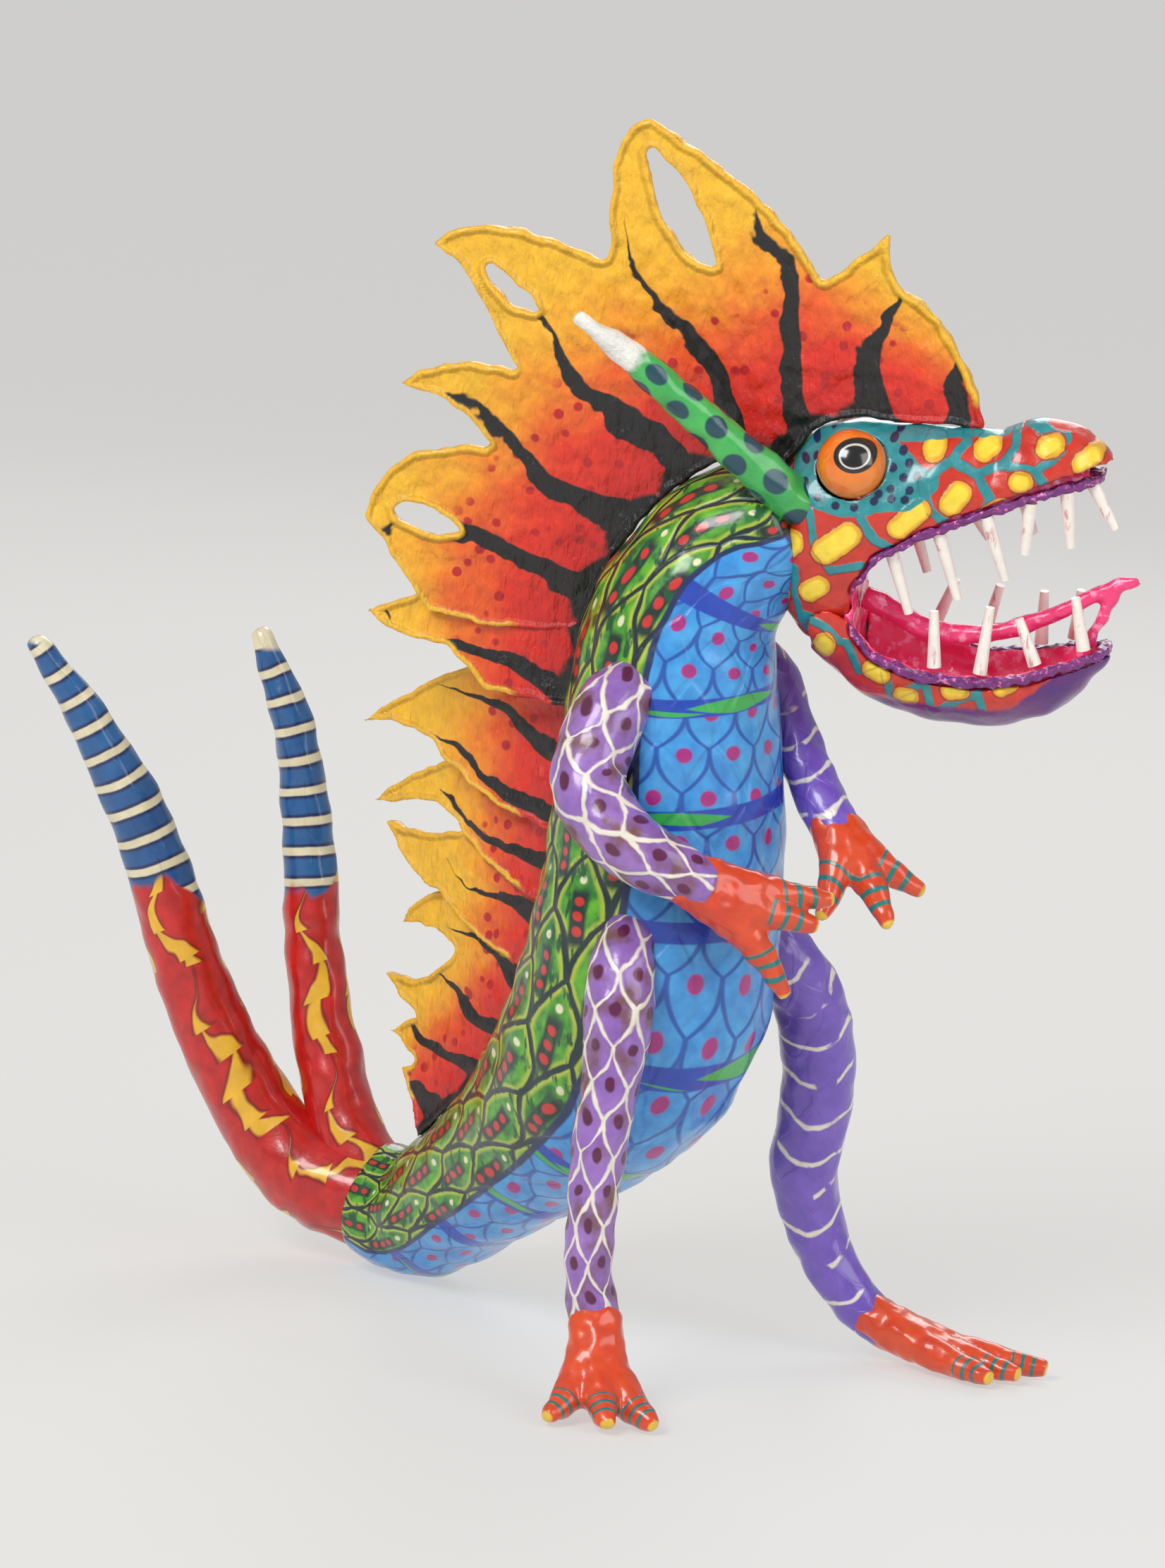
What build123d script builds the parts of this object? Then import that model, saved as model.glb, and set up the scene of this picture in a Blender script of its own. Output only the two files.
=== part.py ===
"""Alebrije: a painted papier-mache dragon that stands on two feet and the bend of its forked tail.

Every limb is built the way the craft builds it: a bent wire, a rolled newspaper core around the
wire, and a skin of pasted paper over the core. Head, crests, hands, feet, horns, eyes and teeth are
separate forms glued on. X points where the snout points, Y to the figure's left, Z up.
"""
import os

from build123d import *

# ---- driving dimensions (mm) -------------------------------------------------------------
BODY_WALL = 2.5          # pasted paper on the body and head
LIMB_WALL = 1.8          # pasted paper on arms, legs and tail branches
LINING = 1.2             # thin pink paper inside the mouth
CREST_THICKNESS = 3.6    # layered card of the crests
SPINE_WIRE_R = 1.5
LIMB_WIRE_R = 1.0
WIRE_BEND_R = 7.0
EYE_R = 9.2
TOOTH_ROOT_R = 1.9
TOOTH_TIP_R = 1.2
LIP_HEIGHT = 3.0         # band of rough paper along the edge of each jaw
LIP_PROUD = 0.8          # how far that band stands out from the jaw
FLOOR_DEPTH = 30.0       # depth of the block that trims the soles flat

# The head is modelled level, facing +X from the corner of its mouth, then turned and tilted.
HEAD = Pos(66, 46, 219) * Rot(0, 0, -10) * Rot(10, 0, 0)
HINGE_X, HINGE_Y = 22, 54          # upright line in the body that all back crest planes share
SIDEWAYS = Vector(0.75, 0.65, 0)   # across the body, never in line with a limb or the spine

# Stations of each round form: x, y, z of its centre and its outer radius.
SPINE = [(50, 46, 235, 18), (38, 47, 228, 21), (28, 48, 216, 23), (23, 50, 202, 26),
         (22.5, 52, 181, 28.5), (23, 53, 162, 30), (23.5, 54, 143, 31.5), (23, 54, 124, 33),
         (20.5, 56, 101, 34), (12, 66, 79, 32), (-6, 91, 53, 24), (-22, 116, 33, 20),
         (-36, 138, 18, 18.5), (-53, 149, 20, 16.5)]
TAIL_RIGHT = [(-47, 147, 18, 14.5), (-69, 155, 23, 14), (-85, 160, 38, 12.5), (-101, 160, 64, 11),
              (-112, 158, 90, 10), (-121, 156, 115, 9), (-133, 154, 138, 7.5), (-146, 152, 158, 5.5),
              (-158, 150, 173, 3)]
TAIL_LEFT = [(-49, 150, 22, 11.5), (-60, 156, 37, 10.5), (-67, 162, 58, 9.5), (-73, 167, 84, 8.5),
             (-76, 170, 108, 8), (-80, 172, 135, 7), (-87, 173, 159, 5.5), (-96, 174, 177, 3)]
LEG_RIGHT = [(17, 30, 127, 6), (14, 22, 118, 9), (14, 17, 105, 9.6), (13.5, 13, 88, 8), (11.5, 10, 70, 7.5),
             (10.7, 8, 51, 6.6), (11.3, 8, 36, 6.3), (13.6, 8, 24, 6.8)]
LEG_LEFT = [(46, 69, 122, 7), (58, 73, 112, 9.5), (68, 78, 94, 10.4), (70.5, 82, 71, 10.2),
            (68.5, 86, 52, 9.8), (73, 88, 35, 8.6), (80, 86, 22, 7.2), (88, 84, 13, 6.6)]
ARM_RIGHT = [(14, 36, 190, 8), (7, 27, 184, 10), (3, 23, 174, 10.3), (1.5, 18, 164, 10.3),
             (6, 13, 156, 10), (15, 9, 149, 9.4), (27, 8, 143.5, 7.4)]
ARM_LEFT = [(43, 66, 194, 7), (49, 68, 189, 7), (54, 65, 177, 7), (60, 58, 165, 7), (67, 48, 154, 6.6)]

FOOT_RIGHT = [(13.6, 8, 24, 6.8), (14.5, 5, 16, 8), (16, -1, 8, 9.5), (17, -7, 5, 10)]
TOES_RIGHT = [(4, -16, 3.2), (18.5, -20, 3.4), (30, -17, 3.0)]
FOOT_LEFT = [(88, 84, 13, 6.6), (95, 80.5, 8.5, 7), (103, 76, 5.5, 7.5), (110, 72, 4.5, 8)]
TOES_LEFT = [(121, 58, 3.2), (129, 64, 3.2), (137, 72, 3.2)]
TOE_ROOT_R = 4.2
HAND_RIGHT = [(27, 8, 143.5, 7.4), (35, 8.5, 140.5, 8), (44, 10, 137, 9), (51, 11.5, 134, 9)]
FINGERS_RIGHT = [(66, 18, 138), (62.5, 14, 131.5), (56.5, 12, 114)]
HAND_LEFT = [(67, 48, 154, 6.6), (71, 44, 147, 7.5), (76, 40, 141, 8.5), (80, 37, 138, 8)]
FINGERS_LEFT = [(91, 41, 138.5), (83, 31, 131), (66, 30, 132)]
FINGER_ROOT_R = 4.0
DIGIT_TIP_R = 2.7

# Routes of the wires inside, as corner points.
SPINE_WIRE = [(60, 45, 238), (26, 48, 212), (23, 54, 122), (5, 77, 68), (-37, 138, 19)]
LIMB_WIRES = {
    "arm_right": [(17, 45, 192), (6, 27, 184), (1.5, 18, 164), (13, 10, 150), (36, 8.5, 140)],
    "arm_left": [(30, 56, 196), (50, 67, 188), (57, 61.5, 170), (71, 44, 147)],
    "leg_right": [(17, 45, 128), (14, 20, 112), (11.5, 10, 70), (11, 8, 40), (14.2, 6, 17)],
    "leg_left": [(30, 62, 124), (62, 75, 106), (70, 84, 62), (78, 87, 25), (95, 80.5, 8.5)],
    "tail_right": [(-41, 142, 22.5), (-72, 156, 26), (-100, 160, 62), (-120, 156, 113), (-146, 152, 158)],
    "tail_left": [(-44, 145, 15), (-60, 156, 38), (-69, 164, 66), (-79, 172, 126), (-88, 173, 162)],
}

# Sections of the head, in its own frame: x, height of centre, half width, half height.
CRANIUM = [(-19, 12, 10, 15), (-14, 12, 16, 24), (-8, 13, 19.5, 29), (0, 15, 20, 29.5),
           (9, 18, 19.5, 26.5), (20, 22, 18, 22.5), (36, 26, 15.5, 19), (47, 29, 13, 14.5),
           (56, 32, 10, 9.5), (62, 33.5, 7, 6), (66, 34, 3.5, 3)]
JAW = [(-12, -6, 14, 8), (-5, -7, 16.5, 14.5), (3, -8, 17.5, 20.5), (10, -14, 17.5, 18),
       (22, -18, 17, 17), (39, -19, 15.5, 17), (50, -17, 13.5, 17), (59, -14, 10.5, 15),
       (67, -10.5, 6.5, 10), (71, -9, 3, 5)]
UPPER_LIP = [(3, 0), (9, 10), (20, 17), (36, 24), (47, 28.5), (56, 31.5), (72, 35)]
LOWER_LIP = [(-24, 4), (3, -6), (10, -14), (22, -18), (39, -19), (50, -17), (59, -14), (80, -7)]
TONGUE = [(4, 0, -4, 3.4), (14, 0, -8, 3.2), (27, 0, -12, 3), (38, 0, -11, 2.8), (50, 0, -6.5, 2.5),
          (64, 0, 1.5, 2.2), (77, 0, 7.5, 1.6)]
TONGUE_PRONG = [(71, 0, 4.5, 1.7), (68, 0, -3, 1.8), (63.5, 0, -12, 2)]
HORN_RIGHT = [(-12, -10, 23, 7), (-18, -15, 28, 6.6), (-34, -20, 43, 5.6), (-52, -25, 59, 4.6),
              (-71, -28.5, 73, 1.6)]
HORN_LEFT = [(-12, 10, 23, 7), (-18, 15, 28, 6.6), (-25, 20, 44, 5.6), (-31, 25, 60, 4.4),
             (-38, 30, 77, 1.6)]
EYE_CENTRE = (1, 13, 35.5)

# Teeth, in the head's frame: root and tip. Right ones have negative y.
UPPER_TEETH_RIGHT = [((13, -15.5, 14), (18.5, -14.5, -3)), ((25, -14.8, 20), (31, -14, 2)),
                     ((37, -13.4, 25), (43, -12.5, 8)), ((48, -11, 29), (47.5, -11, 15)),
                     ((57, -8, 32), (59, -7.5, 17)), ((63, -3.5, 34), (70, -4, 22))]
UPPER_TEETH_LEFT = [((14, 15.5, 14), (19, 14.5, 0)), ((28, 14.5, 21), (35, 14, 11)),
                    ((42, 12.5, 27), (47, 12, 14)), ((55, 9, 31), (57, 8.5, 18))]
LOWER_TEETH_RIGHT = [((26, -14.5, -17), (25, -13.5, -2)), ((38, -13.2, -18), (39.5, -12, 0)),
                     ((52, -10.5, -15), (47, -10, -3)), ((64, -6, -11), (61, -6, 3))]
LOWER_TEETH_LEFT = [((21, 14.8, -17), (27, 13.5, -1)), ((35, 13.6, -18), (39, 12, -1)),
                    ((51, 11, -15.5), (51, 10.5, -1)), ((60, 8.5, -12.5), (61, 8, 1))]

# Crest outlines are closed rings of strokes. A stroke of two points is straight and a longer one
# is a smooth curve; strokes meet in sharp corners, as tips and notches do.
HEAD_CREST = [
    [(34, 46), (30, 57), (26, 65), (18, 75), (10, 80)],
    [(10, 80), (7, 86), (6, 95)],
    [(6, 95), (-2, 88), (-11, 80)],
    [(-11, 80), (-17, 89), (-33, 104), (-58, 120)],
    [(-58, 120), (-64, 117), (-68, 107), (-69, 81)],
    [(-69, 81), (-82, 85), (-97, 88), (-116, 81)],
    [(-116, 81), (-110, 78), (-104, 71), (-97, 58), (-89, 48)],
    [(-89, 48), (-104, 50), (-114, 48), (-124, 42)],
    [(-124, 42), (-109, 38), (-97, 27)],
    [(-97, 27), (-112, 26), (-124, 20), (-131, 5)],
    [(-131, 5), (-123, -6), (-113, -20)],
    [(-113, -20), (-92, -22), (-65, -20)],
    [(-65, -20), (-40, 6), (-10, 24), (34, 38)],
    [(34, 38), (34, 46)],
]
HEAD_CREST_HOLES = [
    [[(-59, 113), (-50, 105), (-43, 93), (-39, 81)],
     [(-39, 81), (-47, 85), (-54, 94), (-59, 113)]],
    [[(-101, 78), (-93, 73), (-85, 65)], [(-85, 65), (-95, 68), (-101, 78)]],
    [[(-124, 7), (-118, 10), (-111, 8), (-104, 3)], [(-104, 3), (-116, 3), (-124, 7)]],
]
# Each back flame has its angle behind the body and its ring, as distance from the hinge line
# and height.
BACK_FLAMES = [
    (19, [[(20, 220), (45, 212), (76, 201)], [(76, 201), (73, 197), (70, 195)],
          [(70, 195), (50, 183), (20, 178)], [(20, 178), (20, 220)]]),
    (26, [[(20, 214), (45, 205), (70, 197)], [(70, 197), (82, 200), (95, 198)],
          [(95, 198), (86, 190), (73.5, 180)], [(73.5, 180), (50, 170), (20, 168)],
          [(20, 168), (20, 214)]]),
    (36, [[(20, 190), (50, 187), (73.5, 180)], [(73.5, 180), (88, 172), (104, 161)],
          [(104, 161), (92, 162.5), (82, 161), (74, 155)], [(74, 155), (50, 144), (20, 140)],
          [(20, 140), (20, 190)]]),
    (43, [[(20, 164), (50, 160), (74, 155)], [(74, 155), (91, 149), (109, 137)],
          [(109, 137), (95, 139), (83, 140), (74, 135)], [(74, 135), (50, 122), (20, 118)],
          [(20, 118), (20, 164)]]),
    (46, [[(20, 142), (50, 139), (73, 136)], [(73, 136), (92, 131), (109, 132)],
          [(109, 132), (100, 122), (85, 115)], [(85, 115), (50, 100), (20, 98)],
          [(20, 98), (20, 142)]]),
    (49, [[(10, 122), (50, 119), (85, 115)], [(85, 115), (96, 112), (105, 102)],
          [(105, 102), (93, 103), (81, 99)], [(81, 99), (90, 91), (112, 88)],
          [(112, 88), (104, 82), (92.5, 77)], [(92.5, 77), (99, 76), (107, 71)],
          [(107, 71), (100, 68), (92, 65)], [(92, 65), (96, 64), (101, 62)],
          [(101, 62), (96, 54), (90, 42)], [(90, 42), (60, 45), (16, 79)],
          [(16, 79), (10, 122)]]),
]


# ---- shapes ------------------------------------------------------------------------------
def round_form(stations, inside=0.0, sideways=SIDEWAYS, after=None):
    """A smooth round solid through the stations, thinner all round by `inside`.

    `after` names the stations of the limb that it carries on from, whose end face it shares.
    """
    centres = [Vector(*station[:3]) for station in stations]
    rings = []
    for i, station in enumerate(stations):
        along = centres[min(i + 1, len(centres) - 1)] - centres[max(i - 1, 0)]
        if after and i == 0:
            along = Vector(*after[-1][:3]) - Vector(*after[-2][:3])
        flat = sideways - along * (sideways.dot(along) / along.dot(along))
        rings.append(Plane(centres[i], x_dir=flat, z_dir=along) * Circle(station[3] - inside))
    return loft(rings)


def oval_form(sections, inside=0.0):
    """A smooth solid along X through upright oval sections."""
    rings = []
    for x, height, half_width, half_height in sections:
        upright = Plane((x, 0, height), x_dir=(0, 1, 0), z_dir=(1, 0, 0))
        rings.append(upright * Ellipse(half_width - inside, half_height - inside))
    return loft(rings)


def wire(points, radius, bend=WIRE_BEND_R):
    """A round wire of straight runs with a tangent bend at every corner."""
    route = FilletPolyline(*points, radius=bend)
    return sweep(Plane(route @ 0, z_dir=route % 0) * Circle(radius), path=route)


def side_prism(outline, half_width=40.0):
    """A prism across the head whose side view is the outline, given as x and height."""
    return extrude(Plane.XZ * make_face(Polyline(*outline, close=True)), half_width, both=True)


def stroke(points):
    """A straight line through two points or a smooth curve through more."""
    return Line(*points) if len(points) == 2 else Spline(*points)


def card(ring, plane, thickness=CREST_THICKNESS):
    """A flat piece of card with the ring as its outline, centred on the plane."""
    outline = make_face([stroke(points) for points in ring])
    return extrude(plane * outline, thickness / 2, both=True)


def digit(root, tip, root_radius, tip_radius=DIGIT_TIP_R):
    """A tapered finger or toe with a rounded end."""
    start, end = Vector(*root), Vector(*tip)
    along = end - start
    cone = Cone(root_radius, tip_radius, along.length, align=(Align.CENTER, Align.CENTER, Align.MIN))
    return Plane(start, z_dir=along) * cone + Pos(*end) * Sphere(tip_radius)


def largest(shape):
    """The main solid of a cut shape, without offcuts."""
    return max(shape.solids(), key=lambda solid: solid.volume)


def tooth(root, tip):
    """A whittled stick, thicker at its root."""
    start, end = Vector(*root), Vector(*tip)
    along = end - start
    stick = Cone(TOOTH_ROOT_R, TOOTH_TIP_R, along.length, align=(Align.CENTER, Align.CENTER, Align.MIN))
    return Plane(start, z_dir=along) * stick


def above_floor(solid):
    """The solid with everything below the floor trimmed off, which leaves a flat sole."""
    below = Pos(0, 60, -FLOOR_DEPTH / 2) * Box(600, 500, FLOOR_DEPTH)
    return solid - below


def limb(stations, route, body):
    """Skin, newspaper core and wire of one limb, ending where it meets the body."""
    outer = round_form(stations) - body
    inner = round_form(stations, LIMB_WALL) - body
    core_wire = wire(route, LIMB_WIRE_R)
    return largest(outer - inner), largest(inner - core_wire), core_wire


# ---- head --------------------------------------------------------------------------------
def below_line(line, depth=-60):
    return [*line, (line[-1][0], depth), (line[0][0], depth)]


def above_line(line, height=80):
    return [*line, (line[-1][0], height), (line[0][0], height)]


def shifted(line, rise):
    return [(x, z + rise) for x, z in line]


def make_head():
    """Cranium, jaw, lips, mouth linings, tongue, eyes and teeth in the head's own frame."""
    eyes = {"eye_right": Pos(EYE_CENTRE[0], -EYE_CENTRE[1], EYE_CENTRE[2]) * Sphere(EYE_R),
            "eye_left": Pos(*EYE_CENTRE) * Sphere(EYE_R)}
    teeth = {}
    for row, places in (("upper_tooth_right", UPPER_TEETH_RIGHT), ("upper_tooth_left", UPPER_TEETH_LEFT),
                        ("lower_tooth_right", LOWER_TEETH_RIGHT), ("lower_tooth_left", LOWER_TEETH_LEFT)):
        for number, (root, tip) in enumerate(places, 1):
            teeth[f"{row}_{number}"] = tooth(root, tip)
    all_teeth = list(teeth.values())

    mouth_gap = side_prism(below_line(UPPER_LIP))
    over_jaw = side_prism(above_line(LOWER_LIP))
    cranium_solid = oval_form(CRANIUM) - mouth_gap
    cranium_hollow = oval_form(CRANIUM[1:-1], BODY_WALL)
    upper_edge = side_prism([*UPPER_LIP, *reversed(shifted(UPPER_LIP, LIP_HEIGHT))])
    upper_lip = (oval_form(CRANIUM, -LIP_PROUD) - cranium_hollow) & upper_edge
    upper_lip = upper_lip - list(eyes.values())

    jaw_solid = oval_form(JAW) - over_jaw - cranium_solid
    jaw_hollow = oval_form(JAW[1:-1], BODY_WALL)
    lower_edge = side_prism([*LOWER_LIP[1:], *reversed(shifted(LOWER_LIP[1:], -LIP_HEIGHT))])
    lower_lip = ((oval_form(JAW, -LIP_PROUD) - jaw_hollow) & lower_edge) - cranium_solid - upper_lip

    cranium = cranium_solid - cranium_hollow - upper_edge - list(eyes.values())
    ahead_of_hinge = Pos(42, 0, 0) * Box(100, 60, 140)
    jaw = largest((jaw_solid - jaw_hollow - lower_edge - upper_edge) & ahead_of_hinge)

    mouth_front = Pos(50, 0, 0) * Box(92, 60, 140)
    palate = (cranium_hollow - oval_form(CRANIUM[1:-1], BODY_WALL + LINING)) & mouth_front
    palate = palate - mouth_gap - list(eyes.values())
    jaw_lining = (jaw_hollow - oval_form(JAW[1:-1], BODY_WALL + LINING)) & mouth_front
    jaw_lining = jaw_lining - over_jaw - cranium_solid - upper_lip
    throat = (cranium_hollow + jaw_hollow) & (Pos(2.5, 0, 0) * Box(2.5, 60, 90))
    throat = throat - cranium - jaw - upper_lip - lower_lip - palate - jaw_lining - list(eyes.values())

    across = Vector(0, 1, 0)
    tongue = round_form(TONGUE, 0, across) - throat
    prong = round_form(TONGUE_PRONG, 0, across) - tongue - jaw - lower_lip - jaw_lining
    pieces = {"cranium": cranium, "lower_jaw": jaw, "upper_lip": upper_lip, "lower_lip": lower_lip,
              "palate": palate, "jaw_lining": jaw_lining, "throat": throat, "tongue": tongue,
              "tongue_prong": prong}
    for name in ("cranium", "lower_jaw", "upper_lip", "lower_lip", "palate", "jaw_lining"):
        pieces[name] = pieces[name] - all_teeth
    return pieces | eyes | teeth, cranium_solid


def make_all():
    head, cranium_solid = make_head()
    head_block = HEAD * cranium_solid
    jaw_block = HEAD * (oval_form(JAW) - side_prism(above_line(LOWER_LIP)))

    spine_wire = wire(SPINE_WIRE, SPINE_WIRE_R)
    body = above_floor(round_form(SPINE)) - head_block - jaw_block
    body_inside = round_form(SPINE, BODY_WALL) - head_block - jaw_block

    limbs = {"arm_right": ARM_RIGHT, "arm_left": ARM_LEFT, "leg_right": LEG_RIGHT,
             "leg_left": LEG_LEFT, "tail_right": TAIL_RIGHT, "tail_left": TAIL_LEFT}
    parts = {}
    taken = body
    for name, stations in limbs.items():
        skin, core, core_wire = limb(stations, LIMB_WIRES[name], taken)
        parts[f"{name}_skin"] = skin
        parts[f"{name}_core"] = core
        parts[f"{name}_wire"] = core_wire
        if name == "tail_right":
            taken = taken + round_form(stations)
    for layer in ("skin", "core"):
        parts[f"tail_right_{layer}"] = parts[f"tail_right_{layer}"] - parts["tail_left_wire"]
    wires = [spine_wire] + [parts[f"{name}_wire"] for name in limbs]
    parts["torso_skin"] = body - body_inside - wires
    parts["torso_core"] = above_floor(body_inside) - wires
    parts["spine_wire"] = spine_wire

    for side, stations, toes in (("right", FOOT_RIGHT, TOES_RIGHT), ("left", FOOT_LEFT, TOES_LEFT)):
        foot = round_form(stations, after=LEG_RIGHT if side == "right" else LEG_LEFT)
        for x, y, z in toes:
            foot = foot + digit(stations[-1][:3], (x, y, z), TOE_ROOT_R)
        parts[f"foot_{side}"] = above_floor(foot) - parts[f"leg_{side}_wire"]
    for side, stations, fingers in (("right", HAND_RIGHT, FINGERS_RIGHT), ("left", HAND_LEFT, FINGERS_LEFT)):
        hand = round_form(stations, after=ARM_RIGHT if side == "right" else ARM_LEFT)
        for tip in fingers:
            hand = hand + digit(stations[-1][:3], tip, FINGER_ROOT_R)
        parts[f"hand_{side}"] = hand - parts[f"arm_{side}_wire"]

    for name, piece in head.items():
        parts[name] = HEAD * piece
    parts["cranium"] = parts["cranium"] - spine_wire
    for side, stations in (("right", HORN_RIGHT), ("left", HORN_LEFT)):
        parts[f"horn_{side}"] = HEAD * round_form(stations) - head_block - body
    horns = [parts["horn_right"], parts["horn_left"]]

    head_crest = card(HEAD_CREST, Plane.XZ)
    for hole in HEAD_CREST_HOLES:
        head_crest = head_crest - card(hole, Plane.XZ, 2 * CREST_THICKNESS)
    head_crest = HEAD * head_crest - head_block - body - horns
    back_crest = None
    for angle, ring in BACK_FLAMES:
        outward = Vector(-1, 0, 0).rotate(Axis.Z, -angle)
        plane = Plane((HINGE_X, HINGE_Y, 0), x_dir=outward, z_dir=outward.cross(Vector(0, 0, 1)))
        flame = card(ring, plane)
        back_crest = flame if back_crest is None else back_crest + flame
    parts["head_crest"] = head_crest
    parts["back_crest"] = largest(back_crest - body - head_crest - head_block)
    return parts


def write_parts(parts):
    """Moves the origin to the centre of the footprint and writes one file for each part."""
    box = Compound(list(parts.values())).bounding_box()
    to_origin = Pos(-box.center().X, -box.center().Y, -box.min.Z)
    print("moved by", -box.center().X, -box.center().Y, -box.min.Z, "size", box.size)
    os.makedirs("parts", exist_ok=True)
    for name, part in parts.items():
        export_step(to_origin * part, f"parts/{name}.step")


write_parts(make_all())
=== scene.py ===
"""Carton-paste dragon figure: a wire and newspaper armature, pasted paper skin, painted and varnished."""
import math

import bpy
from mathutils import Matrix, Vector, noise
from mathutils.kdtree import KDTree


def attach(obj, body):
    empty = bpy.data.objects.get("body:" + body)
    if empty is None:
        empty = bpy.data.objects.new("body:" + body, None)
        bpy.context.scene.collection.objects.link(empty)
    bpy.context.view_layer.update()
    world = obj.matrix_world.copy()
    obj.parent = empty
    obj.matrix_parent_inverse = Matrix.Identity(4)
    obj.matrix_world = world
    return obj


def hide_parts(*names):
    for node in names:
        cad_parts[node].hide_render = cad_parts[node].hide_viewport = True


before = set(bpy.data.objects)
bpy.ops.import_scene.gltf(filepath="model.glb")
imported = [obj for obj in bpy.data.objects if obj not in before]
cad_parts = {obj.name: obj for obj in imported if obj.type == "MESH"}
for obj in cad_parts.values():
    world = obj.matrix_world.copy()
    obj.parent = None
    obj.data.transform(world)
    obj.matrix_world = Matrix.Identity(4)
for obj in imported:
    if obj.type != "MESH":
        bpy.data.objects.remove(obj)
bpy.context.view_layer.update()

scene = bpy.context.scene
scene.view_settings.view_transform = "Standard"

# ---------------------------------------------------------------- camera
# A long lens a little above the figure, looking down on it and leaned a few degrees, so
# that the whole figure stands slightly turned in the frame.
camera_data = bpy.data.cameras.new("camera")
camera = bpy.data.objects.new("camera", camera_data)
scene.collection.objects.link(camera)
camera_data.lens = 143.9
camera_data.sensor_fit = "AUTO"
camera_data.sensor_width = 36.0
camera_data.clip_start = 0.05
CAMERA_AT, LOOK_DOWN, LEAN = (0.0090, -1.6781, 0.4199), math.radians(9), math.radians(4.32)
ahead = Vector((0, math.cos(LOOK_DOWN), -math.sin(LOOK_DOWN)))
level_up = Vector((1, 0, 0)).cross(ahead)
right = math.cos(LEAN) * Vector((1, 0, 0)) + math.sin(LEAN) * level_up
upward = right.cross(ahead)
axes = [[right[i], upward[i], -ahead[i]] for i in range(3)]
camera.matrix_world = Matrix.Translation(CAMERA_AT) @ Matrix(axes).to_4x4()
scene.camera = camera

# ---------------------------------------------------------------- paint box
# Every surface is acrylic paint on pasted paper under a brushed varnish, so each finish
# is a small mixture of masks and colours. Wire is a number on its way through the mixture.


class Wire:
    """A number at one socket. & and | keep to what both masks, or either mask, cover."""

    def __init__(self, finish, socket):
        self.finish, self.socket = finish, socket

    def math(self, operation, *values):
        maths = self.finish.node("ShaderNodeMath", {"operation": operation}, [self, *values])
        return Wire(self.finish, maths.outputs[0])

    def __add__(self, other):
        return self.math("ADD", other)

    def __sub__(self, other):
        return self.math("SUBTRACT", other)

    def __rsub__(self, other):
        return (self * -1.0) + other

    def __mul__(self, other):
        return self.math("MULTIPLY", other)

    def __truediv__(self, other):
        return self.math("DIVIDE", other)

    def __pow__(self, other):
        return self.math("POWER", other)

    def __abs__(self):
        return self.math("ABSOLUTE")

    def __and__(self, other):
        return self.math("MULTIPLY", other)

    def __or__(self, other):
        return self.math("MAXIMUM", other)

    def floor(self):
        return self.math("FLOOR")

    def fract(self):
        return self.math("FRACT")

    def sine(self):
        return self.math("SINE")

    def root(self):
        return self.math("SQRT")

    def below(self, edge, blur):
        """1 where the number is under the edge, fading over the blur."""
        ramp = self.finish.node("ShaderNodeMapRange", {"interpolation_type": "SMOOTHSTEP"},
                                [self, edge - blur, edge + blur, 1.0, 0.0])
        return Wire(self.finish, ramp.outputs[0])

    def above(self, edge, blur):
        return 1.0 - self.below(edge, blur)

    __radd__ = __add__
    __rmul__ = __mul__


def ink(red, green, blue):
    """A paint colour from its 0 to 255 values."""
    def linear(v):
        v = v / 255.0
        return v / 12.92 if v <= 0.04045 else ((v + 0.055) / 1.055) ** 2.4
    return (linear(red), linear(green), linear(blue), 1.0)


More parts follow.
